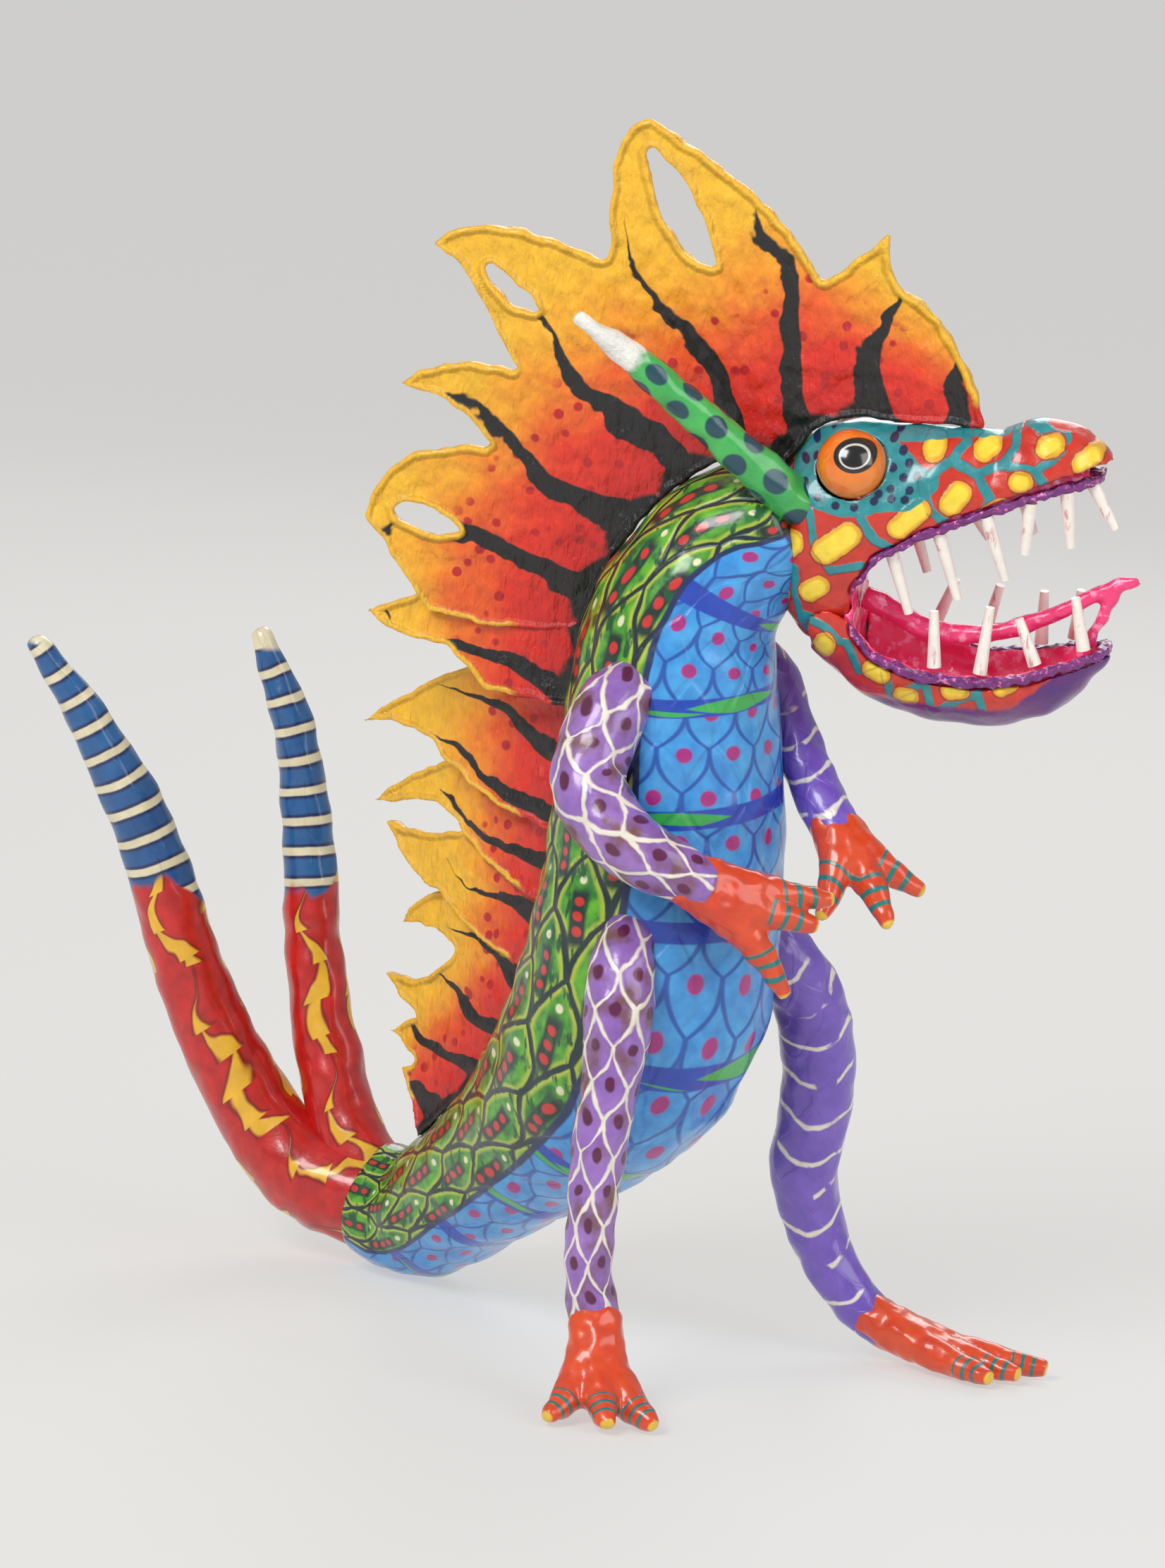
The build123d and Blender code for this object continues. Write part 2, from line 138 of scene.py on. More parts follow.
class Finish:
    """One paint: its node tree, and the handful of moves that mix it."""

    def __init__(self, name):
        self.material = bpy.data.materials.new(name)
        self.material.use_nodes = True
        self.tree = self.material.node_tree
        self.shader = self.tree.nodes["Principled BSDF"]

    def node(self, kind, settings=None, values=()):
        made = self.tree.nodes.new(kind)
        for key, value in (settings or {}).items():
            setattr(made, key, value)
        pairs = values.items() if isinstance(values, dict) else enumerate(values)
        for key, value in pairs:
            if isinstance(value, Wire):
                value = value.socket
            if isinstance(value, bpy.types.NodeSocket):
                self.tree.links.new(value, made.inputs[key])
            else:
                made.inputs[key].default_value = value
        return made

    def place(self):
        """Object coordinates, in metres."""
        return self.node("ShaderNodeTexCoord").outputs["Object"]

    def trait(self, name):
        """A number kept on the mesh."""
        found = self.node("ShaderNodeAttribute", {"attribute_name": name})
        return Wire(self, found.outputs["Fac"])

    def split(self, vector):
        """The three numbers of a vector."""
        parts = self.node("ShaderNodeSeparateXYZ", None, [vector])
        return [Wire(self, socket) for socket in parts.outputs]

    def round_and_along(self):
        """The turn round a roll in radians and the distance along it in metres."""
        found = self.node("ShaderNodeAttribute", {"attribute_name": "round_and_along"})
        cosine, sine, along = self.split(found.outputs["Vector"])
        return sine.math("ARCTAN2", cosine), along

    def grain(self, size, detail=3.0, stretch=(1, 1, 1)):
        """Noise of the given grain size in metres, 0 to 1."""
        spread = self.node("ShaderNodeMapping", None, {"Vector": self.place(), "Scale": stretch})
        noisy = self.node("ShaderNodeTexNoise", None,
                          {"Vector": spread.outputs[0], "Scale": 1.0 / size, "Detail": detail})
        return Wire(self, noisy.outputs[0])

    def mix(self, mask, under, over):
        """The `over` colour laid on the `under` colour where the mask is 1."""
        mixed = self.node("ShaderNodeMix", {"data_type": "RGBA"}, {0: mask, 6: under, 7: over})
        return mixed.outputs[2]

    def shade(self, colour, size=0.004, low=0.72, high=1.18):
        """Uneven brushwork: the colour a little darker and lighter from place to place."""
        level = self.grain(size, 4.0) * (high - low) + low
        grey = self.node("ShaderNodeCombineColor", None, [level, level, level])
        mixed = self.node("ShaderNodeMix", {"data_type": "RGBA", "blend_type": "MULTIPLY"},
                          {0: 1.0, 6: colour, 7: grey.outputs[0]})
        return mixed.outputs[2]

    def done(self, colour, gloss=0.30, coat=0.6, relief=None, depth=0.0004):
        """Colour, varnish, and the relief of brush marks and paper edges."""
        self.tree.links.new(colour, self.shader.inputs["Base Color"])
        rough = self.grain(0.006, 3.0) * 0.25 + (gloss - 0.1)
        self.tree.links.new(rough.socket, self.shader.inputs["Roughness"])
        self.shader.inputs["Coat Weight"].default_value = coat
        self.shader.inputs["Coat Roughness"].default_value = 0.12
        height = self.grain(0.0022, 5.0) * 0.5 + self.grain(0.011, 3.0) * 1.6
        if relief is not None:
            height = height + relief
        bump = self.node("ShaderNodeBump", None, {"Strength": 0.8, "Distance": depth, "Height": height})
        self.tree.links.new(bump.outputs[0], self.shader.inputs["Normal"])


def leaves(across, along, tip=1.0):
    """Overlapping leaf scales in staggered rows: place in the leaf, and how far inside its edge.

    Each leaf is one row long under its neighbours' tips and one row more as its own tip.
    """
    row = along.floor()
    up = along.fract()
    stagger = (row * 0.5).fract()
    tip_x = (across + stagger + 0.5).fract() - 0.5
    base_x = (across + stagger).fract() - 0.5
    curve = (1.0 - up ** (1.0 + tip)) * 0.5
    inside = curve - abs(tip_x)
    on_tip = inside.above(0.0, 0.001)
    x = tip_x * on_tip + base_x * (1.0 - on_tip)
    y = up + on_tip
    edge = abs(inside)
    return x, y, edge


def dot(x, y, at_x, at_y, size, blur, aspect):
    """A round dab of paint at a place in a repeat."""
    dx, dy = x - at_x, (y - at_y) * aspect
    return (dx * dx + dy * dy).root().below(size, blur)


# ---------------------------------------------------------------- floor and lamps
# A plain pale table top under three large soft lamps, one of them behind the figure.
# The backdrop is as pale as the table, so that the two run into each other.
LAMPS_AIM = Vector((0, 0, 0.17))
TABLE_GLOW, SKY_LIGHT, SKY_SEEN = 0.62, 0.40, 1.0
bpy.ops.object.select_all(action="DESELECT")
bpy.ops.mesh.primitive_plane_add(size=80, location=(0, 0, -0.0004))
floor = bpy.context.object
floor.name = "floor"
surface = Finish("pale_table")
surface.shader.inputs["Base Color"].default_value = ink(226, 225, 222)
surface.shader.inputs["Roughness"].default_value = 0.7
glow = surface.node("ShaderNodeEmission", None, {"Color": ink(232, 231, 229), "Strength": 1.0})
blend = surface.node("ShaderNodeMixShader", None, [TABLE_GLOW, surface.shader.outputs[0], glow.outputs[0]])
surface.tree.links.new(blend.outputs[0], surface.tree.nodes["Material Output"].inputs[0])
floor.data.materials.append(surface.material)

world = bpy.data.worlds.new("studio")
scene.world = world
world.use_nodes = True
sky = world.node_tree
background = sky.nodes["Background"]
background.inputs[0].default_value = (1, 1, 1, 1)
background.inputs[1].default_value = SKY_LIGHT
seen = sky.nodes.new("ShaderNodeBackground")
seen.inputs[0].default_value = ink(234, 233, 231)
seen.inputs[1].default_value = SKY_SEEN
rays = sky.nodes.new("ShaderNodeLightPath")
either = sky.nodes.new("ShaderNodeMixShader")
sky.links.new(rays.outputs["Is Camera Ray"], either.inputs[0])
sky.links.new(background.outputs[0], either.inputs[1])
sky.links.new(seen.outputs[0], either.inputs[2])
sky.links.new(either.outputs[0], sky.nodes["World Output"].inputs[0])

for name, place, size, power in (("key_lamp", (-0.75, -1.1, 1.25), 0.7, 18.0),
                                 ("fill_lamp", (1.1, -0.9, 0.8), 0.9, 7.0),
                                 ("back_lamp", (0.3, 1.5, 1.2), 0.9, 9.0)):
    lamp_data = bpy.data.lights.new(name, "AREA")
    lamp_data.size = size
    lamp_data.energy = power
    lamp = bpy.data.objects.new(name, lamp_data)
    lamp.location = place
    lamp.rotation_euler = (LAMPS_AIM - Vector(place)).to_track_quat("-Z", "Y").to_euler()
    scene.collection.objects.link(lamp)

# ---------------------------------------------------------------- body
# The trunk is newspaper rolled on a wire and pasted over. The back is painted with green
# leaf scales, the front and the underside of the tail sky blue with dots and bands. A
# station of a roll is a place on its middle line and its radius there, in mm.
MM = 0.001
BASE = Vector((8.9956, -78.1442, 0.0))      # middle of the armature's base, mm
SIDEWAYS = Vector((0.75, 0.65, 0.0)).normalized()
ROUNDING = 1.025                            # rounding off draws a ring in by about this much
PRESSED_IN = 0.35                           # pasting by hand presses in more than it builds out
LEAVES_ROUND, LEAVES_A_METRE = 11, 58.0
SCALES_ROUND, SCALES_A_METRE = 13, 84.0
SIDE_SEAM = 1.02                            # turn from the belly's middle to the green coat, radians
BAND_FROM, BAND_SPACING = 0.043, 0.0305     # belly bands, metres along the body
BODY = [(50, 46, 235, 18), (38, 47, 228, 21), (28, 48, 216, 23), (23, 50, 202, 26), (22.5, 52, 181, 28.5),
        (23, 53, 162, 30), (23.5, 54, 143, 31.5), (23, 54, 124, 33), (20.5, 56, 101, 34), (12, 66, 79, 32),
        (-6, 91, 53, 24), (-22, 116, 33, 20), (-36, 138, 18, 18.5), (-53, 149, 20, 16.5)]


def directions(stations):
    """Which way the roll runs at each of its stations."""
    points = [Vector(station[:3]) for station in stations]
    last = len(points) - 1
    return [(points[min(i + 1, last)] - points[max(i - 1, 0)]).normalized() for i in range(last + 1)]


def eased(stations, steps=3):
    """More stations between the given ones, on an even curve through them."""
    finer = []
    last = len(stations) - 1
    for i in range(last):
        p0, p1, p2, p3 = (stations[max(0, min(last, i + k))] for k in (-1, 0, 1, 2))
        for step in range(steps):
            t = step / steps
            finer.append(tuple(0.5 * (2 * b + (c - a) * t + (2 * a - 5 * b + 4 * c - d) * t * t
                                      + (3 * b - a - 3 * c + d) * t ** 3)
                               for a, b, c, d in zip(p0, p1, p2, p3)))
    return finer + [tuple(stations[-1])]


def rolled(name, stations, sides):
    """A pasted roll of paper: a ring at each station, bridged, closed and rounded off."""
    bpy.ops.object.select_all(action="DESELECT")
    stations = eased(stations)
    order = list(zip(stations, directions(stations)))
    if stations[0][2] > stations[-1][2]:
        order = [(station, -along) for station, along in reversed(order)]
    for i, (station, along) in enumerate(order):
        centre = (Vector(station[:3]) + BASE) * MM
        azimuth, tilt = math.atan2(along.y, along.x), math.acos(max(-1, min(1, along.z)))
        bpy.ops.mesh.primitive_circle_add(vertices=sides, radius=station[3] * ROUNDING * MM, location=centre)
        if i == 0:
            bpy.ops.object.mode_set(mode="EDIT")
            bpy.ops.mesh.select_all(action="SELECT")
        for axis, angle in (("Z", -azimuth), ("Y", tilt), ("Z", azimuth)):
            bpy.ops.transform.rotate(value=-angle, orient_axis=axis, center_override=centre)
    roll_mesh = bpy.context.object
    bpy.ops.mesh.select_all(action="SELECT")
    bpy.ops.object.mode_set(mode="OBJECT")
    bpy.ops.object.transform_apply(location=True, rotation=True, scale=True)
    mesh = roll_mesh.data
    rings = len(order)
    bpy.ops.object.mode_set(mode="EDIT")
    for ring in range(rings - 1):
        bpy.ops.mesh.select_all(action="DESELECT")
        bpy.ops.object.mode_set(mode="OBJECT")
        for edge in mesh.edges:
            low, high = ring * sides, (ring + 2) * sides
            same_ring = edge.vertices[0] // sides == edge.vertices[1] // sides
            edge.select = same_ring and all(low <= v < high for v in edge.vertices)
        bpy.ops.object.mode_set(mode="EDIT")
        bpy.ops.mesh.bridge_edge_loops()
    bpy.ops.mesh.select_all(action="SELECT")
    bpy.ops.mesh.fill_holes(sides=0)
    bpy.ops.mesh.select_all(action="SELECT")
    bpy.ops.mesh.normals_make_consistent(inside=False)
    bpy.ops.object.mode_set(mode="OBJECT")
    roll_mesh.name = mesh.name = name
    rounded = roll_mesh.modifiers.new("rounded", "SUBSURF")
    rounded.levels = rounded.render_levels = 2
    bpy.ops.object.modifier_apply(modifier="rounded")
    return roll_mesh


def keep(piece, trait, values, kind="FLOAT"):
    """Store one number, or three, on each point of a mesh."""
    layer = piece.data.attributes.new(trait, kind, "POINT")
    flat = [part for value in values for part in value] if kind == "FLOAT_VECTOR" else values
    layer.data.foreach_set("vector" if kind == "FLOAT_VECTOR" else "value", flat)


def along_roll(piece, stations, sideways=SIDEWAYS):
    """Mark each point with its turn round the roll, as cosine and sine, and its distance along in m."""
    stations = eased(stations)
    points = [(Vector(station[:3]) + BASE) * MM for station in stations]
    ways = directions(stations)
    starts = [0.0]
    for a, b in zip(points, points[1:]):
        starts.append(starts[-1] + (b - a).length)
    last = len(points) - 2
    marks = []
    for vertex in piece.data.vertices:
        best = None
        for i in range(last + 1):
            before = (vertex.co - points[i]).dot(ways[i])
            after = (points[i + 1] - vertex.co).dot(ways[i + 1])
            if (before < 0 and i > 0) or (after < 0 and i < last):
                continue
            held = max(0.0, min(1.0, before / max(before + after, 1e-9)))
            away = vertex.co - points[i].lerp(points[i + 1], held)
            if best is None or away.length < best[0]:
                best = (away.length, i, held, away)
        if best is None:
            best = min((((vertex.co - point).length, min(i, last), 0.0, vertex.co - point)
                        for i, point in enumerate(points)), key=lambda found: found[0])
        _, i, held, away = best
        along = ways[i].lerp(ways[i + 1], held)
        side = (sideways - along * sideways.dot(along)).normalized()
        turn = math.atan2(away.dot(side), away.dot(along.cross(side)))
        marks.append((math.cos(turn), math.sin(turn), starts[i] + (starts[i + 1] - starts[i]) * held))
    keep(piece, "round_and_along", marks, "FLOAT_VECTOR")


def roughened(piece, height, size):
    """Uneven hand pasting: the points pushed in and out a little along their normals."""
    normals = [vertex.normal.copy() for vertex in piece.data.vertices]
    for vertex, normal in zip(piece.data.vertices, normals):
        vertex.co += normal * height * (noise.noise(vertex.co / size) - PRESSED_IN)


def stood_on_floor(piece):
    """Nothing of a pasted piece goes below the table."""
    for vertex in piece.data.vertices:
        vertex.co.z = max(vertex.co.z, 0.0)


def settle(piece, finish, slot, *nodes):
    """Finish a piece: smooth, painted, riding on the body, standing for its CAD solids."""
    piece.data.materials.clear()
    piece.data.materials.append(finish)
    piece.data.polygons.foreach_set("use_smooth", [True] * len(piece.data.polygons))
    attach(piece, "root")
    if nodes:
        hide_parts(*nodes)


body = rolled("body", BODY, 28)
along_roll(body, BODY)
roughened(body, 0.0012, 0.011)
stood_on_floor(body)
hide = Finish("body_paint")
turn, run = hide.round_and_along()
wobble = hide.grain(0.02, 2.0) - 0.5
lean = abs(turn + wobble * 0.10)
on_back = lean.above(SIDE_SEAM, 0.012)
swirl = (hide.grain(0.016, 1.0) - 0.5) * 0.28
x, y, edge = leaves(turn * (LEAVES_ROUND / math.tau) + swirl, run * -LEAVES_A_METRE + swirl)
leaf = hide.mix(hide.grain(0.005, 4.0).above(0.5, 0.2), ink(14, 112, 40), ink(100, 182, 38))
leaf = hide.mix(edge.below(0.13, 0.05), leaf, ink(176, 196, 60))
midrib = abs(x).below(0.15, 0.04) & y.above(0.5, 0.08) & y.below(1.42, 0.08)
leaf = hide.mix(midrib, leaf, ink(16, 44, 38))
red_row = dot(x, y, 0.0, 0.72, 0.085, 0.02, 1.1) | dot(x, y, 0.0, 0.97, 0.09, 0.02, 1.1)
red_row = red_row | dot(x, y, 0.0, 1.22, 0.085, 0.02, 1.1)
leaf = hide.mix(red_row, leaf, ink(206, 44, 40))
leaf = hide.mix(dot(x, y, 0.0, 1.58, 0.07, 0.02, 1.1), leaf, ink(236, 232, 190))
strokes = hide.grain(0.0032, 3.0, (1, 1, 0.4))
leaf = hide.mix(strokes.above(0.60, 0.05) & (1.0 - red_row), leaf, ink(12, 84, 40))
leaf = hide.mix((edge + (strokes - 0.5) * 0.08).below(0.055, 0.02), leaf, ink(8, 40, 46))
belly = hide.mix(hide.grain(0.008, 3.0), ink(14, 112, 212), ink(84, 186, 238))
scale_x, scale_y, scale_edge = leaves(turn * (SCALES_ROUND / math.tau) + 0.25 + swirl * 0.5,
                                      run * SCALES_A_METRE + swirl * 0.5, 1.6)
belly = hide.mix(scale_edge.below(0.05, 0.03), belly, ink(26, 88, 176))
belly = hide.mix(dot(scale_x, scale_y, 0.0, 1.12, 0.155, 0.03, 0.85), belly, ink(172, 34, 128))
step = ((run - BAND_FROM + (turn * 1.4).sine() * 0.0022) / BAND_SPACING).fract() - 0.5
band = abs(step).below(0.085, 0.01)
wave = (turn * 2.6 + (run / BAND_SPACING).floor() * 1.7).sine() * 0.085
lens = abs(step).below(1.0, 0.1) & (wave - abs(step)).above(0.012, 0.008)
belly = hide.mix(band, belly, ink(20, 66, 182))
belly = hide.mix(lens, belly, ink(54, 176, 78))
hem = abs(lean - SIDE_SEAM).below(0.035, 0.012)
coat = hide.mix(on_back, belly, leaf)
coat = hide.mix(hem, coat, ink(18, 40, 90))
hide.done(hide.shade(coat), relief=edge.below(0.06, 0.05) * -1.0)
settle(body, hide.material, "body_paint", "torso_skin", "torso_core")

# ---------------------------------------------------------------- tail branches
# Two rolls of paper on wires that fork from the end of the body. Red at the fork with
# licking yellow flames, then blue with cream rings up to the pale tips.
TAILS = {
    "tail_right": [(-47, 147, 18, 14.5), (-69, 155, 23, 14), (-85, 160, 38, 12.5), (-101, 160, 64, 11),
                   (-112, 158, 90, 10), (-121, 156, 115, 9), (-133, 154, 138, 7.5), (-146, 152, 158, 5.5),
                   (-158, 150, 173, 3)],
    "tail_left": [(-49, 150, 22, 11.5), (-60, 156, 37, 10.5), (-67, 162, 58, 9.5), (-73, 167, 84, 8.5),
                  (-76, 170, 108, 8), (-80, 172, 135, 7), (-87, 173, 159, 5.5), (-96, 174, 177, 3)],
}
FLAMES_ROUND, FLAME_LENGTH, LICK_LENGTH = 4, 0.056, 0.0105
RING_SPACING, BLUE_FROM, TIPS_FROM = 0.0088, 0.104, 0.1715      # the last two are heights in metres
flame_coat = Finish("tail_paint")
turn, run = flame_coat.round_and_along()
tall = flame_coat.split(flame_coat.place())[2]
licks = flame_coat.grain(0.014, 2.0, (1, 1, 0.5))
tongues = turn * (FLAMES_ROUND / math.tau) + (run * 210.0).sine() * 0.16 + (licks - 0.5) * 0.9
rise = (run / FLAME_LENGTH + tongues.floor() * 0.37).fract()
lick = 1.0 - ((run + turn * 0.002) / LICK_LENGTH).fract()
ridge = abs(tongues.fract() - 0.5) - (1.0 - rise) * 0.13 - lick * rise.below(0.75, 0.1) * 0.13
colour = flame_coat.shade(ink(204, 26, 22), 0.004, 0.7, 1.2)
colour = flame_coat.mix(ridge.below(0.03, 0.02), colour, ink(150, 14, 16))
colour = flame_coat.mix(ridge.below(-0.03, 0.03), colour, ink(244, 186, 44))
blue = flame_coat.mix(flame_coat.grain(0.03), ink(16, 60, 124), ink(34, 116, 178))
ringed = ((run + flame_coat.grain(0.01) * 0.0012) / RING_SPACING).fract() - 0.5
blue = flame_coat.mix(abs(ringed).below(0.24, 0.05), blue, ink(14, 34, 92))
blue = flame_coat.mix(abs(ringed).below(0.13, 0.03), blue, ink(232, 222, 186))
upper = (tall + (licks - 0.5) * 0.03).above(BLUE_FROM, 0.0015)
colour = flame_coat.mix(upper, colour, blue)
colour = flame_coat.mix(tall.above(TIPS_FROM, 0.001), colour, ink(236, 226, 190))
flame_coat.done(flame_coat.shade(colour), relief=ridge.below(-0.03, 0.03) * 0.5)
for name, stations in TAILS.items():
    branch = rolled(f"{name}_roll", stations, 20)
    along_roll(branch, stations)
    roughened(branch, 0.0009, 0.008)
    stood_on_floor(branch)
    settle(branch, flame_coat.material, "tail_paint", f"{name}_skin", f"{name}_core")

# ---------------------------------------------------------------- arms and legs
# Thin paper rolls on wires pushed into the body. Lilac, the right two with cream scale
# outlines and dark dots, the left two with loose cream arcs.
LIMBS = {
    "leg_right": [(17, 30, 127, 6), (14, 22, 118, 9), (14, 17, 105, 9.6), (13.5, 13, 88, 8),
                  (11.5, 10, 70, 7.5), (10.7, 8, 51, 6.8), (11.3, 8, 36, 6.7), (13.6, 8, 24, 7.1),
                  (15, 4, 15, 7)],
    "leg_left": [(46, 69, 122, 7), (58, 73, 112, 9.5), (68, 78, 94, 10.4), (70.5, 82, 71, 10.2),
                 (68.5, 86, 52, 9.8), (73, 88, 35, 8.6), (80, 86, 22, 7.6), (88, 84, 13, 6.8),
                 (97, 80, 8, 6)],
    "arm_right": [(14, 36, 190, 8), (7, 27, 184, 10), (3, 23, 174, 10.3), (1.5, 18, 164, 10.3),
                  (6, 13, 156, 10), (15, 9, 149, 9.4), (27, 8, 143.5, 7.8), (36, 8.5, 140, 7)],
    "arm_left": [(43, 66, 194, 7), (49, 68, 189, 7), (54, 65, 177, 7), (60, 58, 165, 7),
                 (67, 48, 154, 6.9), (72, 43, 146, 6)],
}
OUTLINES_ROUND, OUTLINES_A_METRE, ARCS_A_METRE = 5, 108.0, 88.0
for side in ("right", "left"):
    lilac = Finish("limb_paint_far" if side == "left" else "limb_paint")
    turn, run = lilac.round_and_along()
    bend = (lilac.grain(0.009, 2.0) - 0.5) * 0.35
    x, y, edge = leaves(turn * (OUTLINES_ROUND / math.tau) + 0.1 + bend, run * OUTLINES_A_METRE + bend)
    if side == "left":
        colour = lilac.mix(lilac.grain(0.018), ink(92, 60, 176), ink(140, 108, 208))
        arcs = (run * ARCS_A_METRE + (turn * 2.0).sine() * 0.22 + bend).fract() - 0.5
        stroke = abs(arcs).below(0.06, 0.03) & lilac.grain(0.010, 2.0).above(0.47, 0.03)
        colour = lilac.mix(stroke, colour, ink(238, 230, 214))
    else:
        colour = lilac.mix(lilac.grain(0.012), ink(112, 66, 160), ink(176, 132, 210))
        colour = lilac.mix(lilac.grain(0.009).above(0.58, 0.12), colour, ink(120, 76, 70))
        brushed = (lilac.grain(0.005, 2.0) - 0.5) * 0.16
        stroke = (edge - y.above(0.9, 0.1) * 0.03 + brushed).below(0.035, 0.035)
        colour = lilac.mix(stroke, colour, ink(238, 230, 214))
        colour = lilac.mix(dot(x, y, 0.0, 1.0, 0.15, 0.03, 0.75), colour, ink(92, 18, 66))
    lilac.done(lilac.shade(colour), relief=edge.below(0.08, 0.04) * 0.5)
    for name in (f"leg_{side}", f"arm_{side}"):
        stations = LIMBS[name]
        limb = rolled(f"{name}_roll", stations, 16)
        along_roll(limb, stations)
        roughened(limb, 0.0007, 0.006)
        settle(limb, lilac.material, "limb_paint", f"{name}_skin", f"{name}_core")

# ---------------------------------------------------------------- hands and feet
# Lumps of paper paste modelled over the wire ends. Orange-red, with teal stripes round each
# digit and a yellow nail at its tip.


def modelled(name, nodes, grain_size, soften, extra=()):
    """Paste modelled over a form: its solids joined, closed up finely, and smoothed by thumb."""
    copies = []
    bpy.ops.object.select_all(action="DESELECT")
    for node in nodes:
        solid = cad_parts[node]
        made = bpy.data.objects.new(name, solid.data.copy())
        made.data.materials.clear()
        scene.collection.objects.link(made)
        made.select_set(True)
        copies.append(made)
    for made in extra:
        made.select_set(True)
        copies.append(made)
    bpy.context.view_layer.objects.active = copies[0]
    if len(copies) > 1:
        bpy.ops.object.join()
    piece = bpy.context.object
    piece.name = piece.data.name = name
    bpy.ops.object.mode_set(mode="EDIT")
    bpy.ops.mesh.select_all(action="SELECT")
    bpy.ops.mesh.remove_doubles(threshold=0.00001)
    bpy.ops.object.mode_set(mode="OBJECT")
    close = piece.modifiers.new("close", "REMESH")
    close.mode = "VOXEL"
    close.voxel_size = grain_size
    bpy.ops.object.modifier_apply(modifier="close")
    rub = piece.modifiers.new("rub", "SMOOTH")
    rub.factor, rub.iterations = 0.5, soften
    bpy.ops.object.modifier_apply(modifier="rub")
    return piece


def at(x, y, z):
    """A place in mm from the armature's base, as a point in metres."""
    return (Vector((x, y, z)) + BASE) * MM


def from_tips(piece, tips, palm, crowding):
    """Mark each point with its distance from the nearest digit's tip, times the crowding."""
    ends = [(at(*tip), (at(*palm) - at(*tip)).normalized()) for tip in tips]
    marks = []
    for vertex in piece.data.vertices:
        found = []
        for tip, inward in ends:
            away = vertex.co - tip
            along = away.dot(inward)
            found.append(((away - inward * along).length + 0.3 * away.length, along))
        marks.append(min(found)[1] * crowding)
    keep(piece, "from_tip", marks)


NAIL_LENGTH, STRIPES_FROM, STRIPES_TO, STRIPE_SPACING = 0.0016, 0.0045, 0.0152, 0.0042
digits = Finish("hand_paint")
back = digits.trait("from_tip") + (digits.grain(0.006) - 0.5) * 0.0012
colour = digits.mix(digits.grain(0.010), ink(206, 36, 16), ink(238, 92, 26))
repeat = ((back - STRIPES_FROM) / STRIPE_SPACING).fract() - 0.5
stripe = abs(repeat).below(0.17, 0.05) & back.above(STRIPES_FROM, 0.0003) & back.below(STRIPES_TO, 0.0003)
colour = digits.mix(stripe, colour, ink(24, 122, 118))
colour = digits.mix(back.below(NAIL_LENGTH, 0.0005), colour, ink(238, 196, 60))
digits.done(digits.shade(colour), relief=stripe * 0.4)
TIP_REACH, TIP_TAPER, TIP_DOME = 0.8, 0.55, 0.4     # of the last radius, and mm past the last ring
DIGITS = {                                          # palm, crowding of the stripes, three digits
    "hand_right": ((48, 10.5, 136), 1.0, [
        [(26, 8, 143.5, 7.3), (40, 11, 141, 6.2), (54, 15, 139, 4.4), (66, 18, 138, 2.7)],
        [(26, 8, 143.5, 7.3), (40, 10, 137.5, 6.6), (53, 12.5, 134, 4.6), (62.5, 14, 131.5, 2.7)],
        [(26, 8, 143.5, 7.3), (38, 9, 136, 6.6), (48, 10.5, 126, 4.6), (56.5, 12, 114, 2.6)]]),
    "hand_left": ((75, 42, 146), 1.0, [
        [(66, 49, 155, 6.7), (74, 44, 148, 6.2), (83, 42, 142.5, 4.3), (91, 41, 138.5, 2.6)],
        [(66, 49, 155, 6.7), (73, 42, 146, 6.2), (79, 36, 138, 4.4), (83, 31, 131, 2.6)],
        [(66, 49, 155, 6.7), (69, 42, 147, 5.8), (68, 36, 139, 4.2), (66, 30, 132, 2.6)]]),
    "foot_right": ((15, 0, 12), 1.55, [
        [(14, 8, 26, 7.1), (13, 1, 15, 6.6), (9, -8, 6.5, 5.2), (4, -16, 3.2, 2.9)],
        [(14, 8, 26, 7.1), (15, 0, 14, 7.2), (17, -11, 6.5, 5.4), (18.5, -20, 3.4, 3.0)],
        [(14, 8, 26, 7.1), (17, 0, 14, 6.6), (24, -9, 6.2, 5.2), (30, -17, 3, 2.9)]]),
    "foot_left": ((103, 76, 7), 1.4, [
        [(87, 84.5, 13, 6.6), (98, 78, 8.5, 6.4), (110, 67, 5.2, 4.6), (121, 58, 3.2, 2.9)],
        [(87, 84.5, 13, 6.6), (99, 79, 8.3, 6.8), (114, 71.5, 5.2, 4.8), (129, 64, 3.2, 2.9)],
        [(87, 84.5, 13, 6.6), (100, 80, 8, 6.4), (118, 76, 5, 4.6), (137, 72, 3.2, 2.9)]]),
}
for name, (palm, crowding, rolls) in DIGITS.items():
    lumps, tips = [], []
    for roll in rolls:
        tip, way = roll[-1], (Vector(roll[-1][:3]) - Vector(roll[-2][:3])).normalized()
        end = Vector(tip[:3]) + way * tip[3] * TIP_REACH
        lumps.append(rolled(name, [*roll, (*end, tip[3] * TIP_TAPER)], 12))
        tips.append(tuple(end + way * TIP_DOME))
    paste = modelled(f"{name}_paste", [], 0.0006, 8, lumps)
    from_tips(paste, tips, palm, crowding)
    roughened(paste, 0.0006, 0.004)
    stood_on_floor(paste)
    settle(paste, digits.material, "hand_paint", name)

# ---------------------------------------------------------------- horns
# Two tapered rolls of paper that lean back from behind the eyes. Bright green with dark
# teal ovals, the pasted tips left rough and white.
HEAD_AT, YAW, TIP_ROLL = Vector((66, 46, 219)), math.radians(-10), math.radians(10)
TO_HEAD = Matrix.Rotation(-TIP_ROLL, 3, "X") @ Matrix.Rotation(-YAW, 3, "Z")
FROM_HEAD = TO_HEAD.inverted()


def on_head(x, y, z):
    """A place on the head, in mm along the snout, to its left and up, as a station's place."""
    return tuple(FROM_HEAD @ Vector((x, y, z)) + HEAD_AT)


